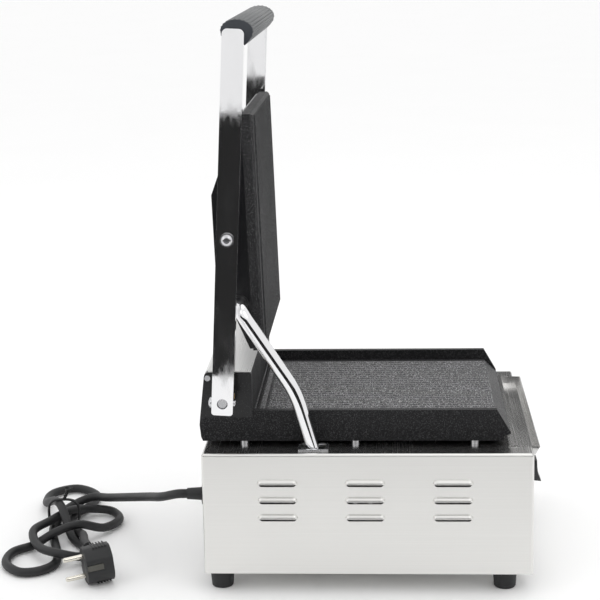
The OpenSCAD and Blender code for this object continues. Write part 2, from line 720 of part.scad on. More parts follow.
// The grip's outline: round and ribbed above, narrower below
function grip_edge(a) = let (rib = sin(a) > -0.35 ? 0.35 * cos(24 * a) : 0, low = min(0, sin(a)))
    [(15.2 + rib) * cos(a) * (1 - 0.3 * low * low), (low < 0 ? 17 : 10.6 + rib) * sin(a)];

module grip() color([0.36, 0.37, 0.39]) in_arm() difference() {
    slab(-grip_x, grip_x) translate([-2.4, arm_len - 2.5]) polygon([for (a = [0:3:357]) grip_edge(a)]);
    translate([0, 0, bar_s]) pin_x(bar_r + fit, -arm_x, arm_x);
}

module clamp_bolts() color("silver") in_arm() both_sides() translate([arm_x + arm_t / 2, 0, 0]) {
    pin_y(clamp_r, -arm_w / 2 - 2, arm_w / 2);
    pin_y(clamp_r + 2.25, arm_w / 2, arm_w / 2 + 3.3);
}

// Upper head

module upper_plate() color([0.16, 0.16, 0.17]) in_head() difference() {
    intersection() {
        rise(head_s0, head_s1) polygon(concat(
            [[head_x, plate_back_t], [-head_x, plate_back_t], [-head_x, face_t + 4],
                [-head_x + 3, face_t + rib_h]],
            [for (p = comb(head_x - 4, rib_h))
                if (p[1] > -rib_h || abs(p[0]) < head_x - 5) [p[0], face_t - p[1]]],
            [[head_x - 3, face_t + rib_h], [head_x, face_t + 4]]));
        slab(-head_x - 1, head_x + 1) polygon([[plate_back_t, head_s0], [plate_back_t, head_s1],
            [face_t + 4, head_s1], [face_t, head_s1 - 3], [face_t, head_s0 + 3], [face_t + 4, head_s0]]);
    }
    for (x = [-2 * leg_x, 2 * leg_x]) translate([x, 0, head_mid])
        pin_y(3 + fit, plate_back_t - 6, plate_back_t + 1);
}

// The cover's side outline, shrunk by a wall
function cover_outline(w) = [[plate_back_t - (w > 0 ? 1 : 0), head_s0 + 2 + 1.4 * w],
    [plate_back_t + 3 - 0.4 * w, head_s0 + 2 + 1.4 * w], [cover_t - w, head_mid - cover_flat + 0.3 * w],
    [cover_t - w, head_mid + cover_flat - 0.3 * w], [plate_back_t + 3 - 0.4 * w, head_s1 - 2 - 1.4 * w],
    [plate_back_t - (w > 0 ? 1 : 0), head_s1 - 2 - 1.4 * w]];

module head_cover() color([0.13, 0.13, 0.13]) in_head() difference() {
    union() {
        difference() {
            slab(-head_x, head_x) polygon(cover_outline(0));
            slab(-head_x + cover_wall, head_x - cover_wall) polygon(cover_outline(cover_wall));
        }
        both_sides() pin_x(9, head_x - 10, head_x - 1);
        translate([0, swivel_t, swivel_s]) sleeve_x(9, 7, -head_x + 1, -head_x + 10);
    }
    both_sides() pin_x(bolt_r - 1 + fit, head_x - 11, head_x + 1);
    translate([0, swivel_t, swivel_s]) pin_x(8, -head_x - 1, -head_x + 10);
    for (s = [-1, 1], x = [-1, 1]) translate([x * (head_x - 22), 0, head_mid + 30 * s])
        pin_y(2 + fit, 0, cover_t + 1);
}

module upper_element() color("dimgray") in_head() translate([0, plate_back_t + element_r, 0])
    rotate([90, 0, 0]) element(head_s0 + 45, head_s1 - 50);

module upper_clamp() color("gray") in_head() {
    t = plate_back_t + 2 * element_r;
    difference() {
        block([-75, t, head_mid - 50], [75, t + 2, head_mid + 50]);
        for (x = [-2 * leg_x, 2 * leg_x]) translate([x, 0, head_mid]) pin_y(3, t - 1, t + 3);
    }
    for (x = [-2 * leg_x, 2 * leg_x]) translate([x, 0, head_mid]) {
        pin_y(3, plate_back_t - 6, t + 2);
        translate([0, t + 2, 0]) rotate([-90, 0, 0]) cylinder_nut(5.5, 0, 3.5);
    }
}

module head_pivot_bolts() color("silver") in_head() both_sides() {
    pin_x(bolt_r - 1, head_x - 10, head_x);
    pin_x(bolt_r, head_x, half_w + washer_t);
    pin_x(bolt_head_r, half_w + washer_t, half_w + washer_t + 3.3);
}

module pivot_spacers() color("silver") in_head() both_sides()
    sleeve_x(bolt_r + 4, bolt_r + fit, head_x + 0.1, arm_x - 0.4);

module pivot_washers() color("silver") in_head() both_sides()
    sleeve_x(bolt_r + 2.5, bolt_r + fit, half_w + 0.05, half_w + washer_t);

module head_cover_screws() color("silver") in_head()
    for (s = [-1, 1], x = [-1, 1]) translate([x * (head_x - 22), 0, head_mid + 30 * s]) {
        pin_y(2, cover_t - 8, cover_t);
        pin_y(4, cover_t, cover_t + 2);
    }

module conduit_bush() color("dimgray") in_head() translate([0, swivel_t, swivel_s])
    sleeve_x(8, tube_r + run_fit, -head_x - 1, -head_x + 10);

// Conduit tube, drawn from its swivel: a stub into the head, then two legs down to the deck

module tube_path(r, out) {
    top = [tube_x, swivel[0], swivel[1]];
    bend = [tube_x, knee[0], knee[1]];
    down = [0, tube_foot[0] - knee[0], tube_foot[1] - knee[1]];
    inner = [-head_x + 10 + out, top[1], top[2]];
    rod(top, inner, r);
    rod(bend, top, r);
    rod(bend, bend + down * (lower_leg + out) / norm(down), r);
    for (p = [top, bend]) translate(p) sphere(r + ball);
}

module conduit_tube() color("silver") difference() {
    tube_path(tube_r, 0);
    tube_path(tube_r - tube_wall, 1);
}

// Drip tray

module drip_tray() color("gainsboro") {
    s = tray_sheet;
    in_y = -half_d + 14.5;
    slab(-tray_x, tray_x) polygon([[in_y + 8, deck_z + 0.2], [in_y + 8, deck_z + 0.2 + s],
        [in_y - s, deck_z + 0.2 + s], [in_y - s, tray_z + s], [-tray_out, tray_z + s],
        [-tray_out - 4.3, deck_z], [-tray_out - 5.1, deck_z], [-tray_out - 0.6, tray_z],
        [in_y, tray_z], [in_y, deck_z + 0.2]]);
    both_sides() slab(tray_x - s, tray_x) polygon([[in_y - s / 2, tray_z + s / 2],
        [in_y - s / 2, deck_z + 0.5], [-tray_out - 4.7, deck_z], [-tray_out - 0.4, tray_z + s / 2]]);
}

left_side_panel();
right_side_panel();
rear_panel();
front_panel();
top_deck();
bottom_plate();
feet();
foot_screws();
lower_plate();
plate_studs();
left_hinge_cheek();
right_hinge_cheek();
hinge_cover();
hinge_cover_screws();
hinge_bushes();
hinge_springs();
conduit_guide();
heat_shield();
lower_element();
lower_clamp();
thermostat_body();
thermostat_bulb();
terminal_block();
switch_body();
dial_ring();
lamp_bezels();
power_lamp();
heat_lamp();
cord_gland();
gland_nut();
power_cord();
cord_tie();
plug_body();
plug_pins();
earth_clips();
hinge_shaft();
shaft_collars();
left_arm();
right_arm();
handle_crossbar();
grip();
clamp_bolts();
upper_plate();
head_cover();
upper_element();
upper_clamp();
head_pivot_bolts();
pivot_spacers();
pivot_washers();
head_cover_screws();
conduit_bush();
conduit_tube();
drip_tray();
thermostat_knob();
thermostat_spindle();
rocker();
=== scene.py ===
"""Looks of the contact grill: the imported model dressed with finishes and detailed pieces."""

import json
import logging
import math
from dataclasses import dataclass, field
from enum import Enum

import bmesh
import bpy
from mathutils import Matrix, Vector

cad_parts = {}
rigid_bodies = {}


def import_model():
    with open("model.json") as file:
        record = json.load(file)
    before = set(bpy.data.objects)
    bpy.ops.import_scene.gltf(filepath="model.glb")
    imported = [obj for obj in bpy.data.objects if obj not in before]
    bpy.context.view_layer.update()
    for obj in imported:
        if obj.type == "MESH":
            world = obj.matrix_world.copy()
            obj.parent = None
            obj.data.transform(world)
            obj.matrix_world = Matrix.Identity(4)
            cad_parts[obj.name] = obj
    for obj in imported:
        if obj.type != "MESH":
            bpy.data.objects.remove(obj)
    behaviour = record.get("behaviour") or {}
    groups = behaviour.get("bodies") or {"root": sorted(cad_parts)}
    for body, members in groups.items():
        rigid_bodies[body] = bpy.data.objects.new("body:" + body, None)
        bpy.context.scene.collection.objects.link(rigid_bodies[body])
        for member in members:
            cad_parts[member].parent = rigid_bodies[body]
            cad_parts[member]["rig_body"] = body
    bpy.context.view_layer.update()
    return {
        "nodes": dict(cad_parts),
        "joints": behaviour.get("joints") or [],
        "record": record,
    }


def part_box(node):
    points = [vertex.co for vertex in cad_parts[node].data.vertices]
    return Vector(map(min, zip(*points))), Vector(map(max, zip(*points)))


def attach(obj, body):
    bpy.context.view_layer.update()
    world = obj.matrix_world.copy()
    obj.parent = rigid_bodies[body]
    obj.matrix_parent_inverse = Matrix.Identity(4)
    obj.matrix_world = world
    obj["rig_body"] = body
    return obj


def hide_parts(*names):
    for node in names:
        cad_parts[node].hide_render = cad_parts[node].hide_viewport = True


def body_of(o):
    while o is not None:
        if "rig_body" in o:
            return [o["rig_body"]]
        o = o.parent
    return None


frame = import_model()
MM = 0.001
log = logging.getLogger("grill")


class Grain(Enum):
    """Direction in which a sheet was brushed, as the pattern's scale along X, Y and Z."""

    ACROSS = (6.0, 1500.0, 1500.0)
    DEPTH = (1500.0, 6.0, 1500.0)


class Socket:
    """One output of a shader node, with arithmetic that adds Math nodes."""

    def __init__(self, graph: "Graph", port: bpy.types.NodeSocket) -> None:
        """Keeps the graph and the output."""
        self.graph = graph
        self.port = port

    def _math(self, operation: str, first: object, second: object) -> "Socket":
        """Adds a Math node.

        Args:
            operation: The node's operation.
            first: The first value, a number or a Socket.
            second: The second value, a number or a Socket.

        Returns:
            The node's output.
        """
        return self.graph.node("ShaderNodeMath", {"operation": operation}, {0: first, 1: second})

    def __add__(self, other: object) -> "Socket":
        """Sum."""
        return self._math("ADD", self, other)

    __radd__ = __add__

    def __sub__(self, other: object) -> "Socket":
        """Difference."""
        return self._math("SUBTRACT", self, other)

    def __rsub__(self, other: object) -> "Socket":
        """Reflected difference."""
        return self._math("SUBTRACT", other, self)

    def __mul__(self, other: object) -> "Socket":
        """Product."""
        return self._math("MULTIPLY", self, other)

    __rmul__ = __mul__

    def __gt__(self, other: object) -> "Socket":
        """One where this is greater, else zero."""
        return self._math("GREATER_THAN", self, other)

    def __lt__(self, other: object) -> "Socket":
        """One where this is less, else zero."""
        return self._math("LESS_THAN", self, other)


class Graph:
    """The node tree of one material."""

    def __init__(self, name: str) -> None:
        """Makes an empty material with a Principled shader.

        Args:
            name: The material's name.
        """
        self.material = bpy.data.materials.new(name)
        self.material.use_nodes = True
        self.tree = self.material.node_tree
        self.tree.nodes.clear()
        self.shader = self.tree.nodes.new("ShaderNodeBsdfPrincipled")
        output = self.tree.nodes.new("ShaderNodeOutputMaterial")
        self.tree.links.new(self.shader.outputs[0], output.inputs["Surface"])

    def node(self, kind: str, settings: dict, sockets: dict, out: object = 0) -> Socket:
        """Adds a node.

        Args:
            kind: The node's type.
            settings: Its properties; "stops" holds a ramp's positions and colours.
            sockets: Values or Sockets for its inputs.
            out: Name or number of the output that is returned.

        Returns:
            The chosen output.
        """
        made = self.tree.nodes.new(kind)
        for key, value in settings.items():
            if key == "stops":
                self._set_stops(made.color_ramp, value)
            else:
                setattr(made, key, value)
        for key, value in sockets.items():
            self.feed(made.inputs[key], value)
        return Socket(self, made.outputs[out])

    def _set_stops(self, ramp: bpy.types.ColorRamp, stops: list) -> None:
        """Fills a colour ramp with grey stops given as (position, grey)."""
        while len(ramp.elements) < len(stops):
            ramp.elements.new(1.0)
        for element, (position, grey) in zip(ramp.elements, stops):
            element.position = position
            element.color = (grey, grey, grey, 1.0)

    def feed(self, port: bpy.types.NodeSocket, value: object) -> None:
        """Links a Socket to an input, or sets its constant."""
        if isinstance(value, Socket):
            self.tree.links.new(value.port, port)
        else:
            port.default_value = value

    def place(self) -> Socket:
        """Object coordinates."""
        return self.node("ShaderNodeTexCoord", {}, {}, "Object")

    def noise(self, scale: object, detail: float = 3.0, rough: float = 0.5) -> Socket:
        """Noise on Object coordinates.

        Args:
            scale: A number, or a scale for each axis.
            detail: Octaves of the noise.
            rough: Weight of its finer octaves.

        Returns:
            The noise's value, about 0.5 on average.
        """
        even = isinstance(scale, (int, float))
        where = self.place()
        if not even:
            where = self.node("ShaderNodeMapping", {}, {"Vector": where, "Scale": scale})
        size = float(scale) if even else 1.0
        sockets = {"Vector": where, "Scale": size, "Detail": detail, "Roughness": rough}
        return self.node("ShaderNodeTexNoise", {}, sockets, "Fac")

    def ramp(self, value: Socket, stops: list) -> Socket:
        """A grey ramp of a value."""
        return self.node("ShaderNodeValToRGB", {"stops": stops}, {"Fac": value}, "Color")

    def blend(self, factor: object, first: tuple, second: object) -> Socket:
        """Mixes two colours by a factor."""
        return self.node(
            "ShaderNodeMix", {"data_type": "RGBA"}, {0: factor, 6: (*first, 1.0), 7: (*second, 1.0)}, 2
        )

    def bump(self, height: Socket, strength: float, distance: float, under: object = None) -> Socket:
        """A bump of a height, over another bump if one is given."""
        sockets = {"Height": height, "Strength": strength, "Distance": distance}
        if under is not None:
            sockets["Normal"] = under
        return self.node("ShaderNodeBump", {}, sockets, "Normal")

    def shade(self, **values: object) -> None:
        """Feeds the Principled shader, with underscores for spaces in the input names."""
        for key, value in values.items():
            self.feed(self.shader.inputs[key.replace("_", " ")], value)


@dataclass(frozen=True)
class Finish:
    """A plain moulded or painted finish with a fine grain."""

    slot: str
    colour: tuple = (0.5, 0.5, 0.5)
    deep: tuple = (0.4, 0.4, 0.4)
    metallic: float = 0.0
    roughness: float = 0.4
    grain_scale: float = 900.0
    grain: float = 0.15
    coat: float = 0.0

    def material(self) -> bpy.types.Material:
        """Builds the material.

        Returns:
            The finished material.
        """
        graph = Graph(self.slot)
        self.paint(graph)
        return graph.material

    def paint(self, graph: Graph) -> None:
        """Feeds the shader of one material."""
        cloud = graph.noise(45.0, 4.0)
        fine = graph.noise(self.grain_scale, 2.0)
        graph.shade(
            Base_Color=graph.blend(cloud, self.deep, self.colour),
            Metallic=self.metallic,
            Roughness=cloud * 0.16 + (self.roughness - 0.08),
            Coat_Weight=self.coat,
            Coat_Roughness=0.12,
            Normal=graph.bump(fine, self.grain, 0.0002),
        )


@dataclass(frozen=True)
class BrushedSteel(Finish):
    """Sheet steel with long brushed streaks."""

    direction: Grain = Grain.DEPTH

    def paint(self, graph: Graph) -> None:
        """Streaks in colour, roughness and height, over a faint cloud of handling."""
        streak = graph.noise(self.direction.value, 2.0, 0.5)
        cloud = graph.noise(9.0, 3.0)
        fine = graph.ramp(streak, [(0.2, 0.0), (0.8, 1.0)])
        graph.shade(
            Base_Color=graph.blend(fine, self.deep, self.colour),
            Metallic=self.metallic,
            Roughness=streak * 0.16 + cloud * 0.1 + (self.roughness - 0.13),
            Normal=graph.bump(streak, 0.1, 0.00005),
        )


@dataclass(frozen=True)
class Chrome(Finish):
    """Plated and polished metal with faint smears."""

    def paint(self, graph: Graph) -> None:
        """Low roughness with smears and a very slight waviness."""
        smear = graph.noise((60.0, 60.0, 25.0), 5.0, 0.6)
        wave = graph.noise(14.0, 1.0)
        graph.shade(
            Base_Color=graph.blend(smear, self.deep, self.colour),
            Metallic=1.0,
            Roughness=graph.ramp(smear, [(0.45, 0.03), (0.8, 0.16)]),
            Normal=graph.bump(wave, 0.05, 0.0008),
        )


@dataclass(frozen=True)
class CastIron(Finish):
    """Sand-cast iron: a coarse sparkling grain, with painted light on the cooking floor that is brightest on
    the rib crests.
    """

    bright: tuple = (0.5, 0.5, 0.51)
    half_width: float = 0.0
    low_y: float = 0.0
    high_y: float = 0.0
    low_z: float = 0.0
    painted_light_height: float = 0.0165
    crest_height: float = 0.0131

    def paint(self, graph: Graph) -> None:
        """Speckles on a dark skin, and painted light inside the side walls, brightest on the rib crests."""
        grit = graph.noise(880.0, 3.0, 0.7)
        lump = graph.noise(200.0, 3.0, 0.6)
        cloud = graph.noise(26.0, 4.0)
        speck = graph.ramp(grit, [(0.5, 0.0), (0.66, 1.0)])
        light_and_mottle = self._painted_light_and_mottle(graph)
        # painted light: specks and tone are raised inside the cooking area, standing in for light from above
        light = speck * (light_and_mottle * 0.9 + 0.1) * (cloud * 0.7 + 0.6) + light_and_mottle * 0.16
        coarse = graph.bump(lump, 0.35, 0.0009)
        graph.shade(
            Base_Color=graph.blend(light, self.colour, self.bright),
            Metallic=0.35,
            Specular_IOR_Level=0.3,
            Roughness=cloud * 0.2 + speck * -0.1 + self.roughness,
            Normal=graph.bump(grit, 0.55, 0.0005, coarse),
        )

    def _painted_light_and_mottle(self, graph: Graph) -> object:
        """Painted light: one on the rib crests inside the cooking area, a quarter lower down and zero
        outside it; without a cooking area, a faint random mottle.
        """
        if self.half_width == 0.0:
            return graph.noise(5.0, 1.0) * 0.12
        sides = [
            graph.node("ShaderNodeSeparateXYZ", {}, {"Vector": graph.place()}, axis) for axis in "XYZ"
        ]
        across = graph.node("ShaderNodeMath", {"operation": "ABSOLUTE"}, {0: sides[0]})
        inside = (across < self.half_width) * (sides[1] > self.low_y) * (sides[1] < self.high_y)
        inside = inside * (sides[2] > self.low_z) * (sides[2] < self.low_z + self.painted_light_height)
        # painted highlight: the rib crests get four times the painted light of the floor between them
        crest = (sides[2] > self.low_z + self.crest_height) * 0.75 + 0.25
        return inside * crest


@dataclass(frozen=True)
class Enamel(Finish):
    """Glossy black enamel with an orange-peel skin and dust."""

    def paint(self, graph: Graph) -> None:
        """Gloss over an uneven skin."""
        peel = graph.noise(330.0, 3.0)
        cloud = graph.noise(22.0, 5.0)
        dust = graph.ramp(graph.noise(1500.0, 2.0), [(0.66, 0.0), (0.74, 1.0)])
        graph.shade(
            Base_Color=graph.blend(dust * 0.5, self.colour, (0.16, 0.16, 0.17)),
            Roughness=cloud * 0.2 + (self.roughness - 0.1),
            Specular_IOR_Level=0.35,
            Coat_Weight=0.15,
            Coat_Roughness=0.12,
            Normal=graph.bump(peel, 0.16, 0.0004),
        )


@dataclass(frozen=True)
class Lens(Finish):
    """A moulded lamp lens with fine rings."""

    def paint(self, graph: Graph) -> None:
        """Clear colour with a soft core."""
        cloud = graph.noise(260.0, 2.0)
        graph.shade(
            Base_Color=graph.blend(cloud, self.deep, self.colour),
            Roughness=cloud * 0.1 + 0.08,
            Coat_Weight=1.0,
            Emission_Color=(*self.colour, 1.0),
            Emission_Strength=0.12,
            Normal=graph.bump(cloud, 0.2, 0.0003),
        )


class Palette:
    """Every finish by the record's slot, and the dressing of CAD nodes."""

    def __init__(self) -> None:
        """Builds the materials from the frame's own sizes."""
        low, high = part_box("lower_plate")
        side_wall, spread = 0.0085, 0.0018
        hinge_box, floor_height = 0.0505, 0.0075
        steel = dict(
            slot="brushed_stainless", colour=(0.78, 0.775, 0.755), deep=(0.74, 0.735, 0.715), metallic=0.9,
            roughness=0.36,
        )
        shiny = dict(
            steel, metallic=1.0, roughness=0.24, colour=(0.66, 0.655, 0.645), deep=(0.58, 0.575, 0.565)
        )
        self.steel_deck = BrushedSteel(**shiny, direction=Grain.ACROSS).material()
        self.steel_depth = BrushedSteel(**steel, direction=Grain.DEPTH).material()
        self.steel_across = BrushedSteel(**steel, direction=Grain.ACROSS).material()
        self.by_slot = {
            "polished_cover": BrushedSteel(
                "polished_cover", (0.74, 0.74, 0.73), (0.6, 0.6, 0.59), 0.85, 0.3, direction=Grain.ACROSS
            ).material(),
            "chrome": Chrome("chrome", (0.86, 0.86, 0.87), (0.78, 0.78, 0.79)).material(),
            "cast_iron": CastIron("cast_iron", (0.009, 0.009, 0.01), roughness=0.48).material(),
            "black_enamel": Enamel("black_enamel", (0.005, 0.005, 0.006), roughness=0.3).material(),
            "zinc_hardware": Finish(
                "zinc_hardware", (0.66, 0.66, 0.67), (0.5, 0.5, 0.52), 1.0, 0.26
            ).material(),
            "spring_steel": Finish(
                "spring_steel", (0.2, 0.2, 0.21), (0.12, 0.12, 0.13), 0.9, 0.4
            ).material(),
            "element_steel": Finish(
                "element_steel", (0.2, 0.17, 0.15), (0.1, 0.09, 0.1), 0.8, 0.45
            ).material(),
            "bronze": Finish("bronze", (0.55, 0.38, 0.18), (0.42, 0.28, 0.12), 0.9, 0.4).material(),
            "copper": Finish("copper", (0.7, 0.36, 0.22), (0.5, 0.24, 0.14), 1.0, 0.3).material(),
            "grip_rubber": Finish(
                "grip_rubber", (0.115, 0.12, 0.122), (0.08, 0.084, 0.088), 0.0, 0.5, 1400.0, 0.25
            ).material(),
            "black_plastic": Finish("black_plastic", (0.016, 0.016, 0.017), (0.01, 0.01, 0.011), 0.0, 0.32,
                                    1200.0, 0.1).material(),
            "black_rubber": Finish("black_rubber", (0.014, 0.015, 0.016), (0.008, 0.008, 0.009), 0.0, 0.55,
                                   1100.0, 0.2).material(),
            "ceramic": Finish("ceramic", (0.75, 0.73, 0.66), (0.66, 0.64, 0.57), 0.0, 0.5).material(),
            "nickel": Finish("nickel", (0.8, 0.77, 0.7), (0.66, 0.63, 0.56), 1.0, 0.2).material(),
            "green_lens": Lens("green_lens", (0.06, 0.62, 0.16), (0.02, 0.4, 0.08)).material(),
            "amber_lens": Lens("amber_lens", (0.95, 0.42, 0.05), (0.8, 0.28, 0.02)).material(),
            "brushed_stainless": self.steel_depth,
        }
        # painted light: the cooking floor of the lower plate is lighter inside its side walls
        self.cooking_iron = CastIron(
            "cooking_iron", (0.009, 0.009, 0.01), roughness=0.45,
            half_width=high.x - side_wall + spread,
            low_y=low.y, high_y=high.y - hinge_box, low_z=low.z + floor_height,
        ).material()
        # painted shade: the earth clips get a dark metal in place of the bright nickel of their slot, which
        # keeps them dark
        self.clip = Finish("darkened_clip", (0.16, 0.155, 0.14), (0.1, 0.1, 0.09), 1.0, 0.35).material()
        # painted shade: the grip's rubber end caps are made much darker than the sleeve, standing in for the
        # shade on their faces
        self.cap = Finish("grip_cap", (0.026, 0.031, 0.04), (0.016, 0.019, 0.025), 0.0, 0.42).material()

    def dress(self) -> None:
        """Gives every CAD node the material of its slot, with a few of its own."""
        own = {
            "front_panel": self.steel_across,
            "rear_panel": self.steel_across,
            "drip_tray": self.steel_deck,
            "top_deck": self.steel_deck,
            "earth_clips": self.clip,
            "lower_plate": self.cooking_iron,
        }
        for part in frame["record"]["subparts"]:
            node = frame["nodes"][part["node"]]
            paint = own.get(part["node"], self.by_slot[part["material_slot"]])
            node.data.materials.clear()
            node.data.materials.append(paint)


@dataclass
class Studio:
    """Camera, floor and soft lights."""

    eye: tuple = (-1.5882, -0.0252, 0.6176)
    yaw: float = math.radians(3.3348)
    pitch: float = math.radians(11.6073)
    roll: float = math.radians(-1.0976)
    lens: float = 97.14
    shift_y: float = -0.06
    cards: tuple = (
        ("near_card", (-0.9, 0.2, 0.191), (0.372, 2.2), 90.0),
        ("far_card", (0.9, -0.27, 0.40), (0.3, 0.28), 90.0),
    )

    def build(self) -> None:
        """Makes the camera, the floor, the world and the lights."""
        self.camera()
        self.floor()
        self.world()
        self.lights()

    def camera(self) -> None:
        """Sets the camera at the eye, turned by its yaw, pitch and roll."""
        data = bpy.data.cameras.new("camera")
        data.lens = self.lens
        data.sensor_width = 36.0
        data.shift_y = self.shift_y
        data.clip_end = 50.0
        ahead = Vector((
            math.cos(self.pitch) * math.cos(self.yaw),
            math.cos(self.pitch) * math.sin(self.yaw),
            -math.sin(self.pitch),
        ))
        right = ahead.cross(Vector((0, 0, 1))).normalized()
        up = right.cross(ahead)
        turn = Matrix.Rotation(-self.roll, 3, ahead)
        axes = Matrix((turn @ right, turn @ up, -ahead)).transposed()
        camera = bpy.data.objects.new("camera", data)
        camera.matrix_world = Matrix.Translation(self.eye) @ axes.to_4x4()
        bpy.context.scene.collection.objects.link(camera)
        bpy.context.scene.camera = camera

    def floor(self) -> None:
        """A wide pale floor with a faint unevenness."""
        bm = bmesh.new()
        bmesh.ops.create_grid(bm, x_segments=1, y_segments=1, size=40.0)
        graph = Graph("floor")
        cloud = graph.noise(3.0, 2.0)
        graph.shade(Base_Color=graph.blend(cloud, (0.96, 0.96, 0.96), (0.98, 0.98, 0.98)), Roughness=0.8)
        Workpiece("floor", graph.material).close(bm)

    def world(self) -> None:
        """An even white surround."""
        world = bpy.data.worlds.new("surround")
        world.use_nodes = True
        back = world.node_tree.nodes["Background"]
        back.inputs["Color"].default_value = (1.0, 1.0, 1.0, 1.0)
        back.inputs["Strength"].default_value = 1.0
        bpy.context.scene.world = world
        bpy.context.scene.view_settings.view_transform = "Standard"

    def lights(self) -> None:
        """A large key above the near side, a fill from the front and one from above."""
        places = [
            ("key", (-1.6, -1.1, 1.9), 6.0, 1.4),
            ("fill", (-1.3, 1.6, 1.1), 3.0, 1.2),
            ("top", (0.4, -0.2, 2.2), 5.0, 1.6),
        ]
        for name, place, power, size in places:
            data = bpy.data.lights.new(name, "AREA")
            data.energy = power
            data.size = size
            light = bpy.data.objects.new(name, data)
            light.location = place
            light.rotation_euler = (Vector((0, 0, 0.2)) - Vector(place)).to_track_quat("-Z", "Y").to_euler()
            bpy.context.scene.collection.objects.link(light)
        self.dark_card()

    def dark_card(self) -> None:
        """Dark screens beside the object, which only reflections show."""
        graph = Graph("dark_card")
        cloud = graph.noise(2.0, 2.0)
        black = graph.blend(cloud, (0.004, 0.004, 0.004), (0.008, 0.008, 0.008))
        graph.shade(Base_Color=black, Roughness=0.9)
        for name, centre, size, turn in self.cards:
            bm = bmesh.new()
            bmesh.ops.create_grid(bm, x_segments=1, y_segments=1, size=0.5)
            bmesh.ops.scale(bm, vec=(*size, 1.0), verts=bm.verts)
            bmesh.ops.rotate(bm, matrix=Matrix.Rotation(math.radians(turn), 3, "Y"), verts=bm.verts)
            bmesh.ops.translate(bm, vec=centre, verts=bm.verts)
            card = Workpiece(name, graph.material).close(bm)
            card.visible_camera = False
            card.visible_diffuse = False
            card.visible_shadow = False


class Workpiece:
    """Turns a bmesh into a finished object that rides on a body."""

    def __init__(self, name: str, paint: bpy.types.Material) -> None:
        """Keeps the piece's name and material."""
        self.name = name
        self.paint = paint

    def close(self, bm: bmesh.types.BMesh, smooth: bool = False, angle: float = 35.0) -> bpy.types.Object:
        """Ends the bmesh and links its object.

        Args:
            bm: The shape, which is freed.
            smooth: Whether faces are shaded smooth below the angle.
            angle: Largest angle between smooth faces, in degrees.

        Returns:
            The linked object.
        """
        if smooth:
            for face in bm.faces:
                face.smooth = True
            for edge in bm.edges:
                edge.smooth = len(edge.link_faces) == 2 and edge.calc_face_angle() < math.radians(angle)
        mesh = bpy.data.meshes.new(self.name)
        bm.to_mesh(mesh)
        bm.free()
        mesh.materials.append(self.paint)
        made = bpy.data.objects.new(self.name, mesh)
        bpy.context.scene.collection.objects.link(made)
        return made

    def mount(
        self, bm: bmesh.types.BMesh, body: str, slot: str, *nodes: str, smooth: bool = True
    ) -> bpy.types.Object:
        """Ends the bmesh as a piece of the object.

        Args:
            bm: The shape, which is freed.
            body: The body it moves with.
            slot: The record's material slot; not used.
            nodes: CAD nodes that it stands for.
            smooth: Whether it is shaded smooth.

        Returns:
            The finished piece.
        """
        made = self.close(bm, smooth)
        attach(made, body)
        if nodes:
            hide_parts(*nodes)
        log.info("%s on %s stands for %s", self.name, body, ", ".join(nodes) or "nothing")
        return made


def softened(node: str, width: float, segments: int = 2, angle: float = 30.0) -> bmesh.types.BMesh:
    """Copies a CAD node with its sharp edges rounded.

    Args:
        node: The CAD node.
        width: Width of the rounding in metres.
        segments: Steps across it.
        angle: Edges sharper than this are rounded, in degrees.

    Returns:
        The rounded copy.
    """
    bm = bmesh.new()
    bm.from_mesh(frame["nodes"][node].data)
    bmesh.ops.remove_doubles(bm, verts=bm.verts, dist=2e-6)
    bmesh.ops.dissolve_limit(bm, angle_limit=math.radians(1.0), verts=bm.verts, edges=bm.edges)
    sharp = [e for e in bm.edges if len(e.link_faces) == 2 and e.calc_face_angle() > math.radians(angle)]
    bmesh.ops.bevel(
        bm, geom=sharp, offset=width, offset_type="OFFSET", segments=segments, profile=0.5, affect="EDGES",
        material=-1, clamp_overlap=True,
    )
    shade_curved(bm)
    return bm


def shade_curved(bm: bmesh.types.BMesh, broad: float = 4e-4) -> None:
    """Shades curved and small faces smooth and leaves broad flat faces flat.

    Args:
        bm: The shape.
        broad: Faces larger than this stay flat, in square metres.
    """
    for edge in bm.edges:
        edge.smooth = len(edge.link_faces) == 2 and edge.calc_face_angle() < math.radians(50)
    for face in bm.faces:
        face.smooth = face.calc_area() < broad and any(
            edge.smooth and edge.calc_face_angle() > math.radians(0.5) for edge in face.edges
        )


def turned(profile: list, place: Vector, axis: Vector, steps: int = 32) -> bmesh.types.BMesh:
    """Spins a profile of (radius, height) points about an axis.

    Args:
        profile: Points from one end of the axis to the other, in metres.
        place: Where height 0 lies.
        axis: Direction of height.
        steps: Faces around.

    Returns:
        The closed shape.
    """
    bm = bmesh.new()
    verts = [bm.verts.new((radius, 0.0, height)) for radius, height in profile]
    for first, second in zip(verts, verts[1:]):
        bm.edges.new((first, second))
    bmesh.ops.spin(
        bm, geom=bm.verts[:] + bm.edges[:], cent=(0, 0, 0), axis=(0, 0, 1), dvec=(0, 0, 0),
        angle=math.tau, steps=steps, use_merge=True,
    )
    bmesh.ops.remove_doubles(bm, verts=bm.verts, dist=1e-6)
    bmesh.ops.recalc_face_normals(bm, faces=bm.faces)
    turn = Vector((0, 0, 1)).rotation_difference(Vector(axis)).to_matrix().to_4x4()
    bmesh.ops.transform(bm, matrix=Matrix.Translation(place) @ turn, verts=bm.verts)
    return bm


def join(target: bmesh.types.BMesh, other: bmesh.types.BMesh) -> None:
    """Adds another bmesh to the target and frees it."""
    mesh = bpy.data.meshes.new("joined")
    other.to_mesh(mesh)
    other.free()
    target.from_mesh(mesh)
    bpy.data.meshes.remove(mesh)


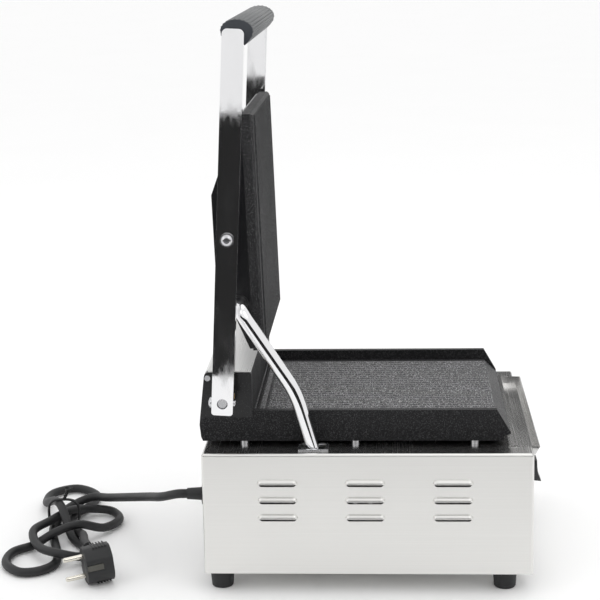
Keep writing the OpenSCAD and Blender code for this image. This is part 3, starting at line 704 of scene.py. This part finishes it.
def curve_piece(name: str, points: list, radius: float, paint: bpy.types.Material) -> bpy.types.Object:
    """Makes a round wire or lead along points.

    Args:
        name: The piece's name.
        points: Its centreline in metres.
        radius: Its radius.
        paint: Its material.

    Returns:
        The curve object.
    """
    data = bpy.data.curves.new(name, "CURVE")
    data.dimensions = "3D"
    data.bevel_depth = radius
    data.bevel_resolution = 4
    data.use_fill_caps = True
    spline = data.splines.new("POLY")
    spline.points.add(len(points) - 1)
    for point, place in zip(spline.points, points):
        point.co = (*place, 1.0)
    spline.use_smooth = True
    data.materials.append(paint)
    made = bpy.data.objects.new(name, data)
    bpy.context.scene.collection.objects.link(made)
    return made


def flowing(points: list, parts: int) -> list:
    """Runs a smooth curve through points.

    Args:
        points: The points, as Vectors.
        parts: Steps between two points.

    Returns:
        The curve's points.
    """
    first = points[0] * 2 - points[1]
    last = points[-1] * 2 - points[-2]
    held = [first, *points, last]
    curve = []
    for a, b, c, d in zip(held, held[1:], held[2:], held[3:]):
        for step in range(parts):
            u = step / parts
            square = (a * 2 - b * 5 + c * 4 - d) * u * u
            cube = (b * 3 - a - c * 3 + d) * u ** 3
            curve.append((b * 2 + (c - a) * u + square + cube) / 2)
    curve.append(points[-1])
    return curve


@dataclass
class PowerLead:
    """The lead, its tie and its angled plug."""

    palette: Palette
    diameter: float = 0.009
    plug_at: tuple = (-120, 266, 20)
    plug_turn: tuple = (-5, 8, 22)
    tie_wire: float = 1.1 * MM
    tie_end_wire: float = 1.0 * MM
    tie_steps: int = 64
    end_steps: int = 40
    rib_count: int = 5
    rib_size: tuple = (20 * MM, 1.4 * MM, 0.9 * MM)
    rib_pitch: float = 3
    ring_pitch: float = 4
    route: list = field(default_factory=lambda: [
        (-100, 175.5, 84.5), (-100, 186, 84), (-80, 204, 74), (-36, 226, 58), (56, 280, 24),
        (78, 306, 16), (64, 328, 9), (34, 334, 6), (0, 332, 5), (-70, 313, 5), (-98, 320, 5),
        (-106, 342, 5), (-84, 362, 5), (-54, 362, 5.2), (-36, 344, 6), (-24, 324, 15),
        (-12, 302, 19.2), (8, 280, 8), (38, 268, 5.6), (64, 280, 5.6), (62, 302, 9), (38, 320, 16),
        (10, 336, 15), (-24, 347, 16), (-60, 333, 13), (-82, 308, 15), (-72, 289, 8),
        (-44, 290, 5.6), (-14, 309, 6.2), (20, 325, 24.8), (50, 339, 22.6), (84, 356, 8),
        (120, 356, 5.8), (138, 332, 5.2), (116, 306, 5), (82, 308, 5), (44, 320, 6),
        (6, 309, 5.6), (-12, 300, 9.4), (-34, 293, 15.6), (-54, 288, 17), (-76, 280, 20),
    ])

    def build(self) -> None:
        """Makes the lead and what is on it."""
        line = flowing([Vector(p) * MM for p in self.route], 6)
        lead = curve_piece("power_lead", line, self.diameter / 2, self.palette.by_slot["black_rubber"])
        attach(lead, "base")
        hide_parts("power_cord")
        length = sum((b - a).length for a, b in zip(line, line[1:]))
        self.tie()
        self.plug()
        log.info("lead is %.2f m", length)

    def tie(self) -> list:
        """Two turns of coated wire round the bundle, with their ends twisted together.

        Returns:
            The pieces, the first of which stands for the CAD tie.
        """
        rubber = self.palette.by_slot["black_rubber"]
        low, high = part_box("cord_tie")
        middle = (low + high) / 2
        reach = (high - low) / 2
        pieces = []
        for index, (shift, tilt) in enumerate(((-1.6, 0.04), (1.7, -0.07))):
            loop = []
            for step in range(self.tie_steps + 1):
                angle = math.tau * step / self.tie_steps + math.pi / 2
                x, z = math.cos(angle), math.sin(angle)
                round_off = 1.0 / (abs(x) ** 3 + abs(z) ** 3) ** (1 / 3)
                loop.append(Vector((
                    middle.x + shift * MM + tilt * reach.z * z,
                    middle.y + (reach.y - 1.2 * MM) * x * round_off,
                    middle.z + (reach.z - 1.3 * MM) * z * round_off,
                )))
            pieces.append(curve_piece(f"tie_turn_{index}", loop, self.tie_wire, rubber))
        for index in range(2):
            tail = []
            for step in range(self.end_steps + 1):
                angle = math.tau * 2.2 * step / self.end_steps + math.pi * index
                wide = 1.1 if step < 30 else 1.1 + (step - 30) * 0.35
                tail.append(Vector((
                    middle.x + wide * math.cos(angle) * MM,
                    middle.y + (wide * math.sin(angle) - 0.16 * step) * MM,
                    high.z + (-2.0 + 0.34 * step) * MM,
                )))
            pieces.append(curve_piece(f"tie_end_{index}", tail, self.tie_end_wire, rubber))
        for piece in pieces:
            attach(piece, "base")
        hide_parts("cord_tie")
        return pieces

    def plug(self) -> bpy.types.Object:
        """The angled plug with finger ribs and a ringed boot.

        Returns:
            The piece that stands for the CAD plug body.
        """
        turn = Matrix.Translation(Vector(self.plug_at) * MM)
        for angle, axis in zip(reversed(self.plug_turn), "ZYX"):
            turn = turn @ Matrix.Rotation(math.radians(angle), 4, axis)
        bm = softened("plug_body", 0.7 * MM, 3)
        extra = bmesh.new()
        for side in (-1, 1):
            for index in range(self.rib_count):
                rib = bmesh.ops.create_cube(extra, size=1.0)["verts"]
                bmesh.ops.scale(extra, vec=self.rib_size, verts=rib)
                shift = Vector((0.5, -12 + self.rib_pitch * index, side * 17.6)) * MM
                bmesh.ops.translate(extra, vec=shift, verts=rib)
        bmesh.ops.bevel(extra, geom=extra.edges[:], offset=0.3 * MM, segments=2, profile=0.5, affect="EDGES")
        for index in range(self.rib_count):
            ring = 8.3 - 0.132 * (2.5 + self.ring_pitch * index)
            profile = [
                (ring - 0.3, -0.9), (ring + 0.6, -0.7), (ring + 0.9, 0.0), (ring + 0.6, 0.7),
                (ring - 0.3, 0.9), (ring - 0.3, -0.9),
            ]
            place = Vector(((26.5 + self.ring_pitch * index) * MM, 0, 0))
            join(extra, turned([(r * MM, h * MM) for r, h in profile], place, Vector((1, 0, 0)), 28))
        bmesh.ops.transform(extra, matrix=turn, verts=extra.verts)
        join(bm, extra)
        return Workpiece("plug_shell", self.palette.by_slot["black_rubber"]).mount(
            bm, "base", "black_rubber", "plug_body"
        )


@dataclass
class Hangings:
    """Places on the arms, from the joints and the lean of the open grill."""

    arm_lean: float = math.radians(3.2)

    def __post_init__(self) -> None:
        """Reads the pivots from the frame."""
        at = {j["name"]: Vector(j["pos_m"]) for j in frame["joints"] if "pos_m" in j}
        self.hinge = at["arm_hinge"]
        self.pivot = at["head_tilt"]
        self.swivel = at["conduit_swivel"]
        self.arm = Matrix.Translation(self.hinge) @ Matrix.Rotation(self.arm_lean, 4, "X")


@dataclass
class Hardware:
    """The button-head bolts of the head and the arms."""

    palette: Palette
    places: Hangings
    head_radius: float = 5.25 * MM
    head_height: float = 3.3 * MM
    pivot_shank: float = 4 * MM
    pivot_socket: float = 2.6 * MM
    pivot_end: float = 97 * MM
    clamp_shank: float = 3 * MM
    clamp_socket: float = 2.3 * MM
    clamp_length: float = 22 * MM
    clamp_at: tuple = (140 * MM, 10 * MM)

    def build(self) -> None:
        """Makes the pivot bolts and the clamp bolts."""
        self.pivot_bolts()
        self.clamp_bolts()

    def bolt(
        self, shank: float, head: float, height: float, length: float, socket: float
    ) -> bmesh.types.BMesh:
        """Makes a button-head bolt whose head sits above height 0.

        Args:
            shank: Radius of the shank.
            head: Radius of the head.
            height: Height of the head.
            length: Length of the shank.
            socket: Radius of the hexagonal socket across its corners.

        Returns:
            The bolt along Z.
        """
        dome = [
            (head * math.cos(math.radians(a)), height * (0.25 + 0.75 * math.sin(math.radians(a))))
            for a in range(0, 71, 14)
        ]
        profile = [(0.0, -length), (shank * 0.85, -length), (shank, -length + shank * 0.15), (shank, 0.0),
                   (head, 0.0), *dome, (socket * 1.06, height * 0.97)]
        bm = turned(profile, Vector((0, 0, 0)), Vector((0, 0, 1)), 36)
        rim = [e for e in bm.edges if e.is_boundary]
        flat = bmesh.ops.contextual_create(bm, geom=rim)["faces"]
        bmesh.ops.inset_region(bm, faces=flat, thickness=socket * 0.06, use_even_offset=True)
        bmesh.ops.inset_individual(bm, faces=flat, thickness=socket * 0.1)
        bmesh.ops.translate(bm, vec=(0, 0, -height * 0.6), verts=list({v for f in flat for v in f.verts}))
        for vert in {v for f in flat for v in f.verts}:
            angle = math.atan2(vert.co.y, vert.co.x)
            apart = (angle % math.radians(60)) - math.radians(30)
            reach = socket * math.cos(math.radians(30)) / math.cos(apart)
            vert.co.x, vert.co.y = reach * math.cos(angle), reach * math.sin(angle)
        return bm

    def pivot_bolts(self) -> None:
        """The two bolts on which the head hangs."""
        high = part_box("head_pivot_bolts")[1]
        seat = high.x - self.head_height
        both = bmesh.new()
        for side in (-1, 1):
            bm = self.bolt(
                self.pivot_shank, self.head_radius, self.head_height, seat - self.pivot_end,
                self.pivot_socket,
            )
            turn = Vector((0, 0, 1)).rotation_difference(Vector((side, 0, 0))).to_matrix().to_4x4()
            place = Matrix.Translation((side * seat, self.places.pivot.y, self.places.pivot.z))
            bmesh.ops.transform(bm, matrix=place @ turn, verts=bm.verts)
            join(both, bm)
        paint = self.palette.by_slot["zinc_hardware"]
        Workpiece("pivot_bolt_set", paint).mount(both, "head", "zinc_hardware", "head_pivot_bolts")

    def clamp_bolts(self) -> None:
        """The two bolts that clamp the arms to the shaft."""
        both = bmesh.new()
        for side in (-1, 1):
            bm = self.bolt(
                self.clamp_shank, self.head_radius, self.head_height, self.clamp_length,
                self.clamp_socket,
            )
            turn = Vector((0, 0, 1)).rotation_difference(Vector((0, 1, 0))).to_matrix().to_4x4()
            place = self.places.arm @ Matrix.Translation((side * self.clamp_at[0], self.clamp_at[1], 0))
            bmesh.ops.transform(bm, matrix=place @ turn, verts=bm.verts)
            join(both, bm)
        paint = self.palette.by_slot["zinc_hardware"]
        Workpiece("clamp_bolt_set", paint).mount(both, "arm", "zinc_hardware", "clamp_bolts")


@dataclass
class Handle:
    """The ribbed grip with its end caps."""

    palette: Palette
    places: Hangings
    half_length: float = 134.8 * MM
    half_width: float = 15.2 * MM
    above: float = 10.6 * MM
    below: float = 17.0 * MM
    rib: float = 1.0 * MM
    rib_count: int = 22
    cap: float = 2.2 * MM
    cap_inset: float = 0.6 * MM
    rim: float = 0.5 * MM
    offset_y: float = -2.4 * MM
    drop: float = 0.2 * MM

    def build(self) -> None:
        """Makes the grip and its caps."""
        low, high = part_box("grip")
        top = self.places.arm.inverted() @ Vector((0, (low.y + high.y) / 2, high.z))
        self.centre = Vector((0, self.offset_y, top.z - self.above - self.drop))
        body = self.bar(-self.half_length + self.cap, self.half_length - self.cap, self.rib, 0.0)
        paint = self.palette.by_slot["grip_rubber"]
        Workpiece("grip_sleeve", paint).mount(body, "arm", "grip_rubber", "grip")
        caps = self.bar(-self.half_length, -self.half_length + self.cap, 0.0, self.cap_inset)
        join(caps, self.bar(self.half_length - self.cap, self.half_length, 0.0, self.cap_inset))
        # painted shade: the caps take the darkened rubber colour of the palette
        Workpiece("grip_caps", self.palette.cap).mount(caps, "arm", "grip_rubber", "grip")

    def bar(self, start: float, end: float, rib: float, inset: float) -> bmesh.types.BMesh:
        """Extrudes the section between two places along X.

        Args:
            start: Where it begins.
            end: Where it ends.
            rib: Height of the ribs.
            inset: How far the section is shrunk.

        Returns:
            The solid in the row frame.
        """
        bm = bmesh.new()
        steps = self.rib_count * 8
        ring = []
        for step in range(steps):
            angle = math.tau * step / steps
            lift = math.sin(angle)
            wave = 0.5 + 0.5 * math.cos(self.rib_count * angle)
            out = rib * (wave ** 0.5 - 1.0) if lift > -0.45 else -rib * 0.5
            sag = min(0.0, lift)
            across = (self.half_width + out - inset) * math.cos(angle) * (1 - 0.3 * sag * sag)
            tall = (self.below if lift < 0 else self.above) + out - inset
            ring.append(bm.verts.new((start, across, tall * lift)))
        face = bm.faces.new(ring)
        made = bmesh.ops.extrude_face_region(bm, geom=[face])["geom"]
        far = [g for g in made if isinstance(g, bmesh.types.BMVert)]
        bmesh.ops.translate(bm, vec=(end - start, 0, 0), verts=far)
        bmesh.ops.recalc_face_normals(bm, faces=bm.faces)
        ends = [f for f in bm.faces if len(f.verts) > 4]
        rims = list({e for f in ends for e in f.edges})
        bmesh.ops.bevel(
            bm, geom=rims, offset=self.rim, segments=2, profile=0.5, affect="EDGES", material=-1
        )
        place = self.places.arm @ Matrix.Translation(self.centre)
        bmesh.ops.transform(bm, matrix=place, verts=bm.verts)
        return bm


@dataclass
class ConduitTube:
    """The bent chrome tube that leads the wires from the deck to the head."""

    palette: Palette
    places: Hangings
    radius: float = 6.5 * MM
    wall: float = 1.3 * MM
    elbow: float = 13 * MM
    knee: float = 105 * MM
    knee_back: float = 52.4 * MM
    knee_height: float = 193 * MM
    foot_back: float = 15 * MM
    foot_height: float = 139.1 * MM
    below: float = 6 * MM

    def build(self) -> None:
        """Sweeps a ring along the tube's line and opens its ends."""
        low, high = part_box("conduit_tube")
        x = low.x + self.radius
        swivel = self.places.swivel
        knee = Vector((x, swivel.y - self.knee_back, self.knee_height))
        foot_y = knee.y - self.foot_back
        down = Vector((0, foot_y - knee.y, self.foot_height - knee.z))
        foot = knee + down * ((down.length + self.below) / down.length)
        head_end, top = Vector((high.x, swivel.y, swivel.z)), Vector((x, swivel.y, swivel.z))
        line = [head_end, *self.arc(head_end, top, knee, self.elbow),
                *self.arc(top, knee, foot, self.knee), foot]
        bm = bmesh.new()
        ring = bmesh.ops.create_circle(bm, segments=28, radius=self.radius)["verts"]
        frame_at = self.frame(line[0], line[1] - line[0], Vector((0, 1, 0)))
        bmesh.ops.transform(bm, matrix=frame_at, verts=ring)
        edges = bm.edges[:]
        for index in range(1, len(line)):
            ahead = line[min(index + 1, len(line) - 1)] - line[index - 1]
            grown = bmesh.ops.extrude_edge_only(bm, edges=edges)["geom"]
            verts = [g for g in grown if isinstance(g, bmesh.types.BMVert)]
            edges = [g for g in grown if isinstance(g, bmesh.types.BMEdge)]
            side = frame_at.to_3x3() @ Vector((0, 1, 0))
            following = self.frame(line[index], ahead, side)
            bmesh.ops.transform(bm, matrix=following @ frame_at.inverted(), verts=verts)
            frame_at = following
        bmesh.ops.recalc_face_normals(bm, faces=bm.faces)
        bmesh.ops.solidify(bm, geom=bm.faces[:], thickness=self.wall)
        bmesh.ops.recalc_face_normals(bm, faces=bm.faces)
        paint = self.palette.by_slot["chrome"]
        Workpiece("conduit_pipe", paint).mount(bm, "conduit", "chrome", "conduit_tube")

    def frame(self, place: Vector, ahead: Vector, side: Vector) -> Matrix:
        """Turns Z ahead and Y towards a side.

        Args:
            place: The frame's origin.
            ahead: Direction of Z.
            side: Direction near Y.

        Returns:
            The frame.
        """
        z = ahead.normalized()
        x = side.cross(z).normalized()
        y = z.cross(x)
        return Matrix.Translation(place) @ Matrix((x, y, z)).transposed().to_4x4()

    def arc(self, before: Vector, corner: Vector, after: Vector, radius: float, steps: int = 10) -> list:
        """Rounds a corner of the line.

        Args:
            before: The point before the corner.
            corner: The corner.
            after: The point after it.
            radius: Radius of the bend.
            steps: Steps along it.

        Returns:
            Points along the bend.
        """
        back, ahead = (before - corner).normalized(), (after - corner).normalized()
        half = back.angle(ahead) / 2
        start = corner + back * (radius / math.tan(half))
        centre = corner + (back + ahead).normalized() * (radius / math.sin(half))
        turn_axis = (start - centre).cross(corner - centre).normalized()
        total = math.pi - 2 * half
        turns = [Matrix.Rotation(total * i / steps, 3, turn_axis) for i in range(steps + 1)]
        return [centre + turn @ (start - centre) for turn in turns]


@dataclass
class Dial:
    """Tick marks round the thermostat and the mark on its knob."""

    palette: Palette
    tick: tuple = (0.7 * MM, 0.2 * MM, 3.2 * MM)
    mark: tuple = (1.0 * MM, 0.3 * MM, 11 * MM)
    step: float = 30.0
    count: int = 10
    from_rim: float = 2.6 * MM
    mark_reach: float = 10 * MM

    def build(self) -> None:
        """Makes the ticks and the mark."""
        low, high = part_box("dial_ring")
        centre = (low + high) / 2
        ticks = bmesh.new()
        for index in range(self.count):
            self.bar(ticks, self.tick, high.x - centre.x - self.from_rim, self.step * index,
                     Vector((centre.x, low.y, centre.z)))
        paint = self.palette.by_slot["black_plastic"]
        Workpiece("dial_ticks", paint).mount(ticks, "base", "black_plastic", smooth=False)
        knob_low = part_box("thermostat_knob")[0]
        mark = bmesh.new()
        self.bar(mark, self.mark, self.mark_reach, 0.0, Vector((centre.x, knob_low.y, centre.z)))
        paint = self.palette.by_slot["ceramic"]
        Workpiece("knob_mark", paint).mount(mark, "knob", "ceramic", smooth=False)

    def bar(self, bm: bmesh.types.BMesh, size: tuple, reach: float, angle: float, centre: Vector) -> None:
        """Adds a bar that points away from the spindle.

        Args:
            bm: The shape that it joins.
            size: Its width, thickness and length.
            reach: Distance of its middle from the spindle.
            angle: Its place, clockwise from the top in degrees.
            centre: Where the spindle meets the face it lies on.
        """
        made = bmesh.ops.create_cube(bm, size=1.0)["verts"]
        bmesh.ops.scale(bm, vec=size, verts=made)
        bmesh.ops.translate(bm, vec=(0, -size[1] * 0.3, reach), verts=made)
        bmesh.ops.rotate(bm, matrix=Matrix.Rotation(math.radians(angle), 3, "Y"), verts=made)
        bmesh.ops.translate(bm, vec=centre, verts=made)


class Grill:
    """The grill's sub-assemblies in the order they are built."""

    def __init__(self) -> None:
        """Makes the finishes."""
        self.palette = Palette()

    def build(self) -> None:
        """Builds the whole object."""
        self.palette.dress()
        PowerLead(self.palette).build()
        places = Hangings()
        Hardware(self.palette, places).build()
        Handle(self.palette, places).build()
        ConduitTube(self.palette, places).build()
        Dial(self.palette).build()
        self.soften_all()

    def soften_all(self) -> None:
        """Replaces sharp CAD nodes by copies with rounded edges."""
        widths = {
            "left_arm": 1.2, "right_arm": 1.2, "left_hinge_cheek": 0.8, "right_hinge_cheek": 0.8,
            "lower_plate": 0.45, "upper_plate": 0.5, "head_cover": 1.2, "hinge_cover": 0.3,
            "drip_tray": 0.15, "thermostat_knob": 0.5, "rocker": 0.5, "feet": 0.6, "conduit_guide": 0.3,
        }
        for part in frame["record"]["subparts"]:
            node = part["node"]
            if node not in widths:
                continue
            bm = softened(node, widths[node] * MM)
            paint = frame["nodes"][node].data.materials[0]
            body = body_of(frame["nodes"][node])[0]
            Workpiece(node + "_skin", paint).mount(bm, body, part["material_slot"], node, smooth=False)


def main() -> None:
    """Builds the studio and the grill."""
    logging.basicConfig(level=logging.INFO)
    Studio().build()
    Grill().build()


if __name__ == "__main__":
    main()
